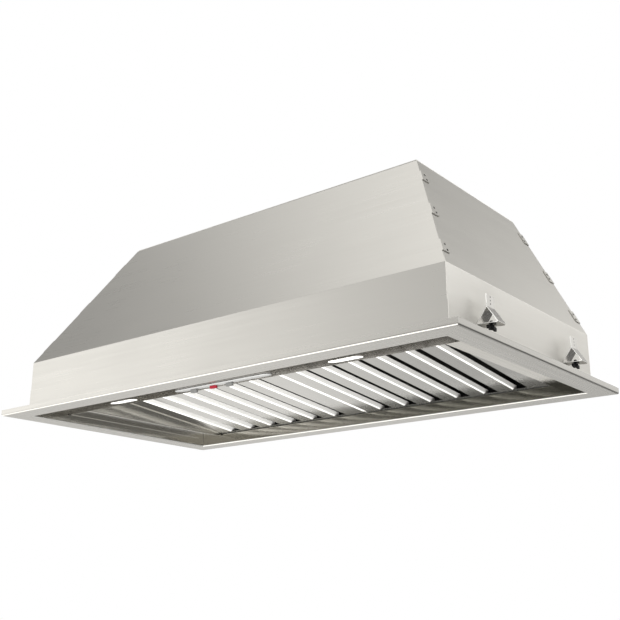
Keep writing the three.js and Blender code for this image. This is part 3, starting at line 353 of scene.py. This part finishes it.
def moulded(name, colour, roughness, speckle=0.06, **sockets):
    """Moulded plastic or enamel with a fine texture and faint clouds."""
    material, tree, surface = new_material(name, colour, roughness, 0.0, **sockets)
    texture = even_noise(tree, SPARK_TEXTURE, 2.0)
    cloud = even_noise(tree, PLASTIC_CLOUD, 2.0)
    rough = varied_roughness(tree, cloud, roughness, PLASTIC_SPREAD)
    set_input(tree, surface.inputs["Base Color"], varied_colour(tree, colour, cloud, speckle))
    set_input(tree, surface.inputs["Roughness"], rough)
    add_bump(tree, surface, texture, SURFACE_RELIEF)
    return material


# ---------------------------------------------------------------- masks, which say where a finish or painted light and shade lies


def part_of(tree, output, axis):
    """One axis of the object's own coordinates or normals."""
    place = tree.nodes.new("ShaderNodeTexCoord").outputs[output]
    parts = tree.nodes.new("ShaderNodeSeparateXYZ")
    tree.links.new(place, parts.inputs[0])
    return parts.outputs[axis]


def reach(tree, axis):
    """Distance from the middle of the hood along an axis, to either side."""
    return math_node(tree, "ABSOLUTE", part_of(tree, "Object", axis))


def facing(tree, axis, low, high):
    """0 to 1 as a face turns to look along an axis, either way."""
    return smooth_range(tree, math_node(tree, "ABSOLUTE", part_of(tree, "Normal", axis)), low, high)


def facing_out(tree, low, high):
    """0 to 1 as a face turns from low to high, where +1 looks away from the hood and -1 back at it."""
    side = math_node(tree, "SIGN", part_of(tree, "Object", "X"))
    outward = math_node(tree, "MULTIPLY", side, part_of(tree, "Normal", "X"))
    return smooth_range(tree, outward, low, high)


def flange_ends(tree):
    """1 on the flange's left and right bars, up to their mitred corners."""
    lead = math_node(tree, "SUBTRACT", reach(tree, "X"), reach(tree, "Y"))
    return math_node(tree, "GREATER_THAN", lead, OPENING_HALF_WIDTH - OPENING_HALF_DEPTH)


def opening_return_highlight(tree):
    """1 on the edge that is rolled up round the flange's opening, which gets a pale painted highlight."""
    upright = facing(tree, "Z", 0.75, 0.45)
    for axis, half in (("X", OPENING_HALF_WIDTH), ("Y", OPENING_HALF_DEPTH)):
        inside = math_node(tree, "LESS_THAN", reach(tree, axis), half)
        upright = math_node(tree, "MULTIPLY", upright, inside)
    return upright


def shaded_side_lips(tree):
    """1 on the flange's outer lip at its left and right ends, which is painted darker as painted shade."""
    outside = math_node(tree, "GREATER_THAN", reach(tree, "X"), LIP_START)
    return math_node(tree, "MULTIPLY", facing(tree, "X", 0.5, 0.9), outside)


def side_band(tree):
    """1 on the upright band of a side panel, which is satin rather than bright."""
    return math_node(tree, "LESS_THAN", part_of(tree, "Object", "Z"), SATIN_TOP)


def edge_tabs(tree):
    """1 on the tabs that the front and back panels fold round onto the sides."""
    return facing(tree, "X", 0.5, 0.8)


def clip_end_highlight(tree):
    """1 on the cut edges at a clip's two ends, which get a pale painted highlight."""
    return facing(tree, "Y", 0.5, 0.8)


def clip_inside_painted_light(tree):
    """1 on the faces of a clip that look back at the hood's wall, which are painted pale as painted light.
    """
    return facing_out(tree, -0.4, -0.7)


def clip_outside_painted_shade(tree):
    """1 on the upright faces of a clip that look away from the hood, which are painted darker as painted
    shade.
    """
    return facing_out(tree, 0.85, 0.97)


def slot_wall_painted_light(tree):
    """1 on the upturned edges along a filter's slots, where a pale colour is painted light, and less
    towards the back and the right as painted shade.
    """
    upright = facing(tree, "X", 0.45, 0.75)
    back = smooth_range(tree, part_of(tree, "Object", "Y"), -50.0 * MM, 200.0 * MM, 1.0, 0.85)
    right = smooth_range(tree, part_of(tree, "Object", "X"), -50.0 * MM, 100.0 * MM, 1.0, 0.92)
    return math_node(tree, "MULTIPLY", upright, math_node(tree, "MULTIPLY", back, right))


def shaded_slot_ends(tree):
    """1 on the inner face of a filter's rear wall, which closes the far end of each slot and is painted
    near black as shade.
    """
    forward = smooth_range(tree, part_of(tree, "Normal", "Y"), -0.45, -0.75)
    behind = math_node(tree, "GREATER_THAN", part_of(tree, "Object", "Y"), 150.0 * MM)
    return math_node(tree, "MULTIPLY", forward, behind)


def tray_back(tree):
    """0 to 1 on the underside of a filter, near its rear edge, where it is less polished."""
    down = smooth_range(tree, part_of(tree, "Normal", "Z"), -0.8, -0.95)
    back = smooth_range(tree, part_of(tree, "Object", "Y"), 100.0 * MM, 170.0 * MM)
    return math_node(tree, "MULTIPLY", down, back)


def rail_shaded_right_end(tree):
    """0 to 1 along the rail towards its right end, where a darker colour is painted shade standing in for a
    darker reflection.
    """
    return smooth_range(tree, part_of(tree, "Object", "X"), -300.0 * MM, 150.0 * MM)


# ---------------------------------------------------------------- the materials of the hood

SHELL = (0.70, 0.69, 0.66)
# Painted shade: a darker copy of the flange's steel for the outer lip at its left and right ends.
BAR_LIP_SHADE = (0.36, 0.355, 0.34)
# Painted highlight: the pale colour of the flange's rolled edge round its opening.
ROLLED_LIP_HIGHLIGHT = (0.85, 0.85, 0.83)
# Painted shade: the light strip and the rail are darker, browner copies of the hood's stainless, for the
# dim reflections they show.
STRIP_PAINTED_SHADE = (0.40, 0.385, 0.35)
STRIP_PAINTED_TINT = (0.62, 0.60, 0.57, 1.0)
RAIL_PAINTED_SHADE = (0.44, 0.425, 0.385)
# Painted shade: the rail's darker right end, where it reflects the dimmer right filter.
RAIL_END_PAINTED_SHADE = (0.20, 0.195, 0.17)
RECESS = (0.66, 0.645, 0.60)
FILTER = (0.74, 0.735, 0.71)
# Painted light: the pale colour of the slots' upturned edges, dimmer towards the filters' back and right as
# painted shade.
SLOT_WALL_PAINTED_LIGHT = (0.86, 0.85, 0.82)
# Painted shade: near black on the far end of each slot.
SLOT_END_SHADE = (0.02, 0.02, 0.02)
CLIP = (0.62, 0.61, 0.59)
# Painted light: pale on a clip's cut ends and on the faces that look back at the wall.
CLIP_PAINTED_LIGHT = (0.93, 0.93, 0.91)
# Painted shade: a darker copy of the clip's steel on its outward upright faces.
CLIP_PAINTED_SHADE = (0.49, 0.485, 0.47)
LAMP_GLOW = (1.0, 0.99, 0.96, 1.0)

# Name, colour, roughness and grain; a finish, real or painted light and shade, has its mask, colour,
# metallic and added roughness.
shell_across = brushed_steel(
    "shell_grain_across", SHELL, 0.30, ALONG_X, finishes_and_painted_light=((edge_tabs, SHELL, 1.0, 0.1),)
)
shell_along = brushed_steel(
    "shell_grain_along", SHELL, 0.40, ALONG_Y, finishes_and_painted_light=((side_band, SHELL, 0.5, 0.1),)
)
flange_metal = brushed_steel(
    "flange_grain_across",
    SHELL,
    0.28,
    ALONG_X,
    finishes_and_painted_light=((opening_return_highlight, ROLLED_LIP_HIGHLIGHT, 0.92, 0.1), (shaded_side_lips, BAR_LIP_SHADE, 1.0, 0.0)),
    crossed=flange_ends,
)
strip_metal = brushed_steel(
    "light_strip_stainless", STRIP_PAINTED_SHADE, 0.15, ALONG_X, depth=SHALLOW_GRAIN, Specular_Tint=STRIP_PAINTED_TINT
)
rail_metal = brushed_steel(
    "rail_stainless", RAIL_PAINTED_SHADE, 0.15, ALONG_X, depth=0.0003, finishes_and_painted_light=((rail_shaded_right_end, RAIL_END_PAINTED_SHADE, 1.0, 0.0),)
)
recess_along = brushed_steel("recess_grain_along", RECESS, 0.15, ALONG_Y, depth=SHALLOW_GRAIN)
filter_metal = brushed_steel(
    "filter_stainless",
    FILTER,
    0.14,
    ALONG_Y,
    finishes_and_painted_light=(
        (tray_back, FILTER, 0.95, 0.1),
        (slot_wall_painted_light, SLOT_WALL_PAINTED_LIGHT, 0.1, 0.25),
        (shaded_slot_ends, SLOT_END_SHADE, 0.9, 0.4),
    ),
)
# Painted shade: the baffles inside the filters are near black for the shade they lie in.
shaded_baffle_metal = brushed_steel("baffle_stainless_shaded", (0.09, 0.09, 0.085), 0.5, ALONG_Y)
spring_metal = brushed_steel(
    "spring_stainless",
    CLIP,
    0.26,
    ALONG_Z,
    finishes_and_painted_light=(
        (clip_end_highlight, CLIP_PAINTED_LIGHT, 0.1, 0.2),
        (clip_inside_painted_light, CLIP_PAINTED_LIGHT, 0.3, 0.2),
        (clip_outside_painted_shade, CLIP_PAINTED_SHADE, 1.0, 0.1),
    ),
)
zinc_metal = galvanised("galvanised_sheet", (0.58, 0.60, 0.61), 0.38)
turned_metal = brushed_steel("turned_steel", (0.45, 0.45, 0.46), 0.25, ALONG_X)
can_metal = brushed_steel("capacitor_can", (0.75, 0.75, 0.76), 0.32, ALONG_Z)
rivet_metal = brushed_steel("rivet_steel", (0.10, 0.10, 0.095), 0.4, ALONG_X)
screw_metal = brushed_steel("screw_steel", (0.52, 0.52, 0.53), 0.3, ALONG_X)
enamel = moulded("black_enamel", (0.02, 0.02, 0.022), 0.35, Coat_Weight=0.3)
black_plastic = moulded("black_plastic", (0.008, 0.008, 0.009), 0.6, Specular_IOR_Level=0.25)
silver_plastic = moulded("silver_plastic", (0.26, 0.26, 0.255), 0.4, 0.03, Specular_IOR_Level=0.3)
grey_plastic = moulded("grey_knob", (0.13, 0.13, 0.125), 0.4)
red_plastic = moulded("red_lens", (0.22, 0.01, 0.02), 0.25)
opal_plastic = moulded(
    "opal_lens", (0.95, 0.95, 0.93), 0.22, 0.02, Emission_Color=LAMP_GLOW, Emission_Strength=0.3
)
hole_shade = moulded("hole_shade", (0.008, 0.008, 0.008), 0.8, Specular_IOR_Level=0.1)
board_green = moulded("circuit_board", (0.03, 0.13, 0.06), 0.4)
board_white = moulded("lamp_board", (0.85, 0.85, 0.82), 0.4)

SIDES = ("left", "right")
ENDS = ("front", "rear")
MATERIAL_OF = {
    "trim_flange": flange_metal,
    "front_panel": shell_across,
    "back_panel": shell_across,
    "right_side_panel": shell_along,
    "left_side_panel": shell_along,
    "top_plate": shell_across,
    "duct_collar": zinc_metal,
    "damper_rod": turned_metal,
    "damper_flap_front": zinc_metal,
    "damper_flap_rear": zinc_metal,
    "blower_housing": zinc_metal,
    "blower_wheel": zinc_metal,
    "motor_shaft": turned_metal,
    "motor": enamel,
    "motor_bracket": zinc_metal,
    "run_capacitor": can_metal,
    "junction_box": zinc_metal,
    "junction_cover": zinc_metal,
    "cable_gland": black_plastic,
    "wiring_conduit": zinc_metal,
    "right_side_filler": recess_along,
    "left_side_filler": recess_along,
    "rear_filter_rail": rail_metal,
    "control_housing": zinc_metal,
    "light_panel": strip_metal,
    "control_bezel": silver_plastic,
    "light_switch_knob": grey_plastic,
    "fan_speed_knob": grey_plastic,
    "indicator_lens": red_plastic,
    "control_board": board_green,
    "lamp_driver": black_plastic,
    "motor_lead": black_plastic,
}
for side in SIDES:
    MATERIAL_OF[side + "_lamp_housing"] = zinc_metal
    MATERIAL_OF[side + "_lamp_lens"] = opal_plastic
    MATERIAL_OF[side + "_filter_tray"] = filter_metal
    MATERIAL_OF[side + "_filter_baffles"] = shaded_baffle_metal
    MATERIAL_OF[side + "_lamp_board"] = board_white
    MATERIAL_OF[side + "_filter_catch"] = spring_metal
    for end in ENDS:
        MATERIAL_OF[f"{side}_{end}_clip"] = spring_metal
        MATERIAL_OF[f"{side}_{end}_wing_screw"] = black_plastic

# ---------------------------------------------------------------- softened edges

BEVEL_WIDTH = {
    "cable_gland": 0.6,
    "motor": 0.8,
    "light_switch_knob": 0.5,
    "fan_speed_knob": 0.5,
    "indicator_lens": 0.5,
}
BEVEL_DEFAULT = 0.2  # millimetres, on the cut edges of the sheet metal
WELD_DISTANCE = 0.002 * MM
FLAT_ANGLE = math.radians(0.5)  # faces that bend less are made one
SHARP_ANGLE = math.radians(35)  # edges that bend more are rounded


def dress_nodes():
    """Gives every node its material and softens its edges."""
    for name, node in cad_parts.items():
        node.data.materials.clear()
        node.data.materials.append(MATERIAL_OF[name])
        weld = node.modifiers.new("weld", "WELD")
        weld.merge_threshold = WELD_DISTANCE
        flat = node.modifiers.new("flat_faces", "DECIMATE")
        flat.decimate_type = "DISSOLVE"
        flat.angle_limit = FLAT_ANGLE
        bevel = node.modifiers.new("soft_edges", "BEVEL")
        bevel.width = BEVEL_WIDTH.get(name, BEVEL_DEFAULT) * MM
        bevel.segments = 2
        bevel.limit_method = "ANGLE"
        bevel.angle_limit = SHARP_ANGLE
        even = node.modifiers.new("even_shading", "WEIGHTED_NORMAL")
        even.mode = "FACE_AREA"


# ---------------------------------------------------------------- rivets, screws and other small pieces

# Lower and upper front corner of the right side slope.
SIDE_FOOT = Vector((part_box("right_side_panel")[1].x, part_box("front_panel")[0].y, BAND_HEIGHT))
SIDE_HEAD = Vector((TOP_HIGH.x, TOP_LOW.y, TOP_HIGH.z))
SIDE_NORMAL = Vector((SIDE_HEAD.z - SIDE_FOOT.z, 0.0, SIDE_FOOT.x - SIDE_HEAD.x)).normalized()
STRIP_NORMAL = Vector((0.0, 0.163, -0.987))  # of the light panel, which rises a little towards the back
UP = Vector((0.0, 0.0, 1.0))
DOWN = -UP

# Two rivets for each tab: share of the slope's height and distance from the slope's edge in mm.
TAB_RIVETS = ((0.836, 9.0), (0.792, 12.0), (0.493, 9.0), (0.452, 12.0), (0.154, 9.0), (0.109, 12.0))
TAB_LIFT = 1.5 * MM  # outer face of the tabs over the side
RIVET_SIZE = (1.8, 0.8)  # radius and height in mm

CLIP_FACE = 421.3 * MM  # outer face of a clip's upright tab, from the middle of the hood
CLIP_BACK = 420.3 * MM  # and its inner face
CLIP_HOLES = (54.5, 59.0, 63.5)  # heights in mm
CLIP_HOLE_SIZE = (1.0, 0.12)  # radius and height of the dark disc in mm

# Outlines of turned heads: radius and height in mm, from the base up.
SCREW_COLLAR = ((3.7, 0.0), (3.7, 0.4), (3.3, 0.7))
SCREW_HEAD = ((2.6, 0.5), (2.6, 2.1), (2.2, 2.6))
BOLT_HEAD = ((3.4, 0.0), (3.4, 2.4), (2.9, 2.8))
BEARING_CAP = ((13.0, 0.0), (13.0, 3.0), (11.5, 4.5))

COLLAR_FLANGE = 14.0 * MM  # width of the duct collar's flange
COLLAR_SCREW_COUNT = 8
TOP_SCREW_X = (-240.0, -150.0, 150.0, 240.0)
TOP_SCREW_Y = (-72.0, 203.0)
COVER_SCREW_INSET = 7.0 * MM
MOTOR_BOLT_COUNT = 4
BOLT_CIRCLE_RADIUS = 33.0 * MM
TERMINAL_OFFSET = 5.3 * MM
TERMINAL_SIZE = (6.3, 0.9, 8.0)  # length, width and height in mm
KNOB_FACE_Y = -162.9 * MM  # middle of a slide knob's face
KNOB_FACE_Z = 1.36 * MM
RIDGE_OFFSETS = (-2.5, 0.0, 2.5)
RIDGE_SIZE = (4.4, 0.9, 0.45)  # length, width and height in mm


def skin(shape, loops):
    """Joins loops of vertices one after another and closes the first and the last."""
    count = len(loops[0])
    for lower, upper in zip(loops, loops[1:]):
        for i in range(count):
            j = (i + 1) % count
            shape.faces.new((lower[i], lower[j], upper[j], upper[i]))
    shape.faces.new(list(reversed(loops[0])))
    shape.faces.new(loops[-1])


def turned(shape, centre, normal, outline, sides=16):
    """Adds a closed head that stands on a surface."""
    place = Matrix.Translation(centre) @ Vector(normal).to_track_quat("Z", "Y").to_matrix().to_4x4()
    loops = []
    for radius, height in outline:
        loop = []
        for i in range(sides):
            angle = 2 * math.pi * i / sides
            point = Vector((radius * math.cos(angle), radius * math.sin(angle), height)) * MM
            loop.append(shape.verts.new(place @ point))
        loops.append(loop)
    skin(shape, loops)


def dome(shape, centre, normal, radius, height):
    """Adds a low domed head."""
    steps = [math.radians(angle) for angle in (0, 20, 40, 60, 80)]
    turned(shape, centre, normal, [(radius * math.cos(a), height * math.sin(a)) for a in steps])


def hex_screw(shape, centre, normal):
    """Adds a sheet-metal screw's six-sided head on its round collar."""
    turned(shape, centre, normal, SCREW_COLLAR)
    turned(shape, centre, normal, SCREW_HEAD, 6)


def bar(shape, centre, normal, along, length, width, height):
    """Adds a rounded bar that lies on a surface. Its sizes are in mm."""
    up = Vector(normal).normalized()
    run = Vector(along).normalized()
    side = up.cross(run)
    angles = [math.radians(30 * i) for i in range(7)]
    section = [(math.cos(a) * width / 2, math.sin(a) * height) for a in angles]
    ends = []
    for end in (-length / 2, length / 2):
        points = [centre + (run * end + side * across + up * lift) * MM for across, lift in section]
        ends.append([shape.verts.new(point) for point in points])
    skin(shape, ends)


def add_piece(name, build, material, body, smooth=True):
    """A new piece made by a function that fills a bmesh."""
    mesh = bpy.data.meshes.new(name)
    shape = bmesh.new()
    build(shape)
    bmesh.ops.recalc_face_normals(shape, faces=shape.faces)
    for face in shape.faces:
        face.smooth = smooth
    shape.to_mesh(mesh)
    shape.free()
    mesh.materials.append(material)
    piece = bpy.data.objects.new(name, mesh)
    bpy.context.scene.collection.objects.link(piece)
    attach(piece, body)


def edge_rivets(shape, sign):
    """The rivets along both slanted edges of one side, +1 for the right and -1 for the left."""
    normal = Vector((SIDE_NORMAL.x * sign, 0.0, SIDE_NORMAL.z))
    for share, inset in TAB_RIVETS:
        place = SIDE_FOOT.lerp(SIDE_HEAD, share)
        for y in (place.y + inset * MM, TOP_HIGH.y - inset * MM):
            dome(shape, Vector((place.x * sign, y, place.z)) + normal * TAB_LIFT, normal, *RIVET_SIZE)


def clip_holes(shape, sign, middle):
    """The three holes of a clip's tab, as dark discs on both of its faces."""
    for height in CLIP_HOLES:
        for face, out in ((CLIP_FACE, sign), (CLIP_BACK, -sign)):
            dome(shape, Vector((sign * face, middle, height * MM)), (out, 0.0, 0.0), *CLIP_HOLE_SIZE)


def collar_screws(shape):
    """A ring of screws in the middle of the duct collar's flange."""
    low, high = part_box("duct_collar")
    centre = Vector(((low.x + high.x) / 2, (low.y + high.y) / 2, low.z + SHEET))
    radius = (high.x - low.x - COLLAR_FLANGE) / 2
    for i in range(COLLAR_SCREW_COUNT):
        angle = 2 * math.pi * (i + 0.5) / COLLAR_SCREW_COUNT
        hex_screw(shape, centre + radius * Vector((math.cos(angle), math.sin(angle), 0.0)), UP)


def top_screws(shape):
    """Two rows of screws along the top plate's front and rear edges."""
    for x in TOP_SCREW_X:
        for y in TOP_SCREW_Y:
            hex_screw(shape, Vector((x * MM, y * MM, TOP_HIGH.z)), UP)


def cover_screws(shape):
    """A screw in each corner of the wiring box's cover."""
    low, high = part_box("junction_cover")
    for x in (low.x + COVER_SCREW_INSET, high.x - COVER_SCREW_INSET):
        for y in (low.y + COVER_SCREW_INSET, high.y - COVER_SCREW_INSET):
            hex_screw(shape, Vector((x, y, low.z)), DOWN)


def motor_bolts(shape):
    """The bolts and the bearing cap on the motor's left end."""
    low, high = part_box("motor")
    centre = Vector((low.x, (low.y + high.y) / 2, (low.z + high.z) / 2))
    out = Vector((-1.0, 0.0, 0.0))
    for i in range(MOTOR_BOLT_COUNT):
        angle = 2 * math.pi * (i + 0.5) / MOTOR_BOLT_COUNT
        place = centre + BOLT_CIRCLE_RADIUS * Vector((0.0, math.cos(angle), math.sin(angle)))
        turned(shape, place, out, BOLT_HEAD, 6)
    turned(shape, centre, out, BEARING_CAP, 32)


def capacitor_terminals(shape):
    """Two blade terminals under the capacitor."""
    low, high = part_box("run_capacitor")
    centre = Vector(((low.x + high.x) / 2, (low.y + high.y) / 2, low.z))
    for offset in (-TERMINAL_OFFSET, TERMINAL_OFFSET):
        bar(shape, centre + Vector((offset, 0.0, 0.0)), DOWN, (0, 1, 0), *TERMINAL_SIZE)


def knob_ridges(shape, middle):
    """Three grip ridges across a slide knob that is centred at X = middle."""
    for offset in RIDGE_OFFSETS:
        place = Vector((middle + offset * MM, KNOB_FACE_Y, KNOB_FACE_Z))
        bar(shape, place, STRIP_NORMAL, STRIP_NORMAL.cross((1, 0, 0)), *RIDGE_SIZE)


def add_small_pieces():
    for side, sign in (("left", -1), ("right", 1)):
        build = partial(edge_rivets, sign=sign)
        add_piece(side + "_edge_rivets", build, rivet_metal, "hood_body")
        for end in ENDS:
            low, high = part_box(f"{side}_{end}_clip")
            build = partial(clip_holes, sign=sign, middle=(low.y + high.y) / 2)
            body = f"{side}_{end}_clip_body"
            add_piece(f"{side}_{end}_clip_holes", build, hole_shade, body)
    for name, build in (
        ("collar_screws", collar_screws),
        ("top_screws", top_screws),
        ("cover_screws", cover_screws),
        ("motor_bolts", motor_bolts),
        ("capacitor_terminals", capacitor_terminals),
    ):
        add_piece(name, build, screw_metal, "hood_body", smooth=False)
    for name, body, knob in (
        ("light_knob_ridges", "light_slider", "light_switch_knob"),
        ("fan_knob_ridges", "fan_slider", "fan_speed_knob"),
    ):
        low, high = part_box(knob)
        build = partial(knob_ridges, middle=(low.x + high.x) / 2)
        add_piece(name, build, grey_plastic, body)


# ---------------------------------------------------------------- the scene

add_camera()
add_world()
add_floor()

# Name, place, diameter in metres and power in watts.
add_light("key", (-1.6, -2.2, 2.2), 2.5, 60.0)
add_light("fill_below", (0.5, -1.0, -1.1), 1.2, 60.0)

dress_nodes()
add_small_pieces()

bpy.context.scene.view_settings.view_transform = "Standard"
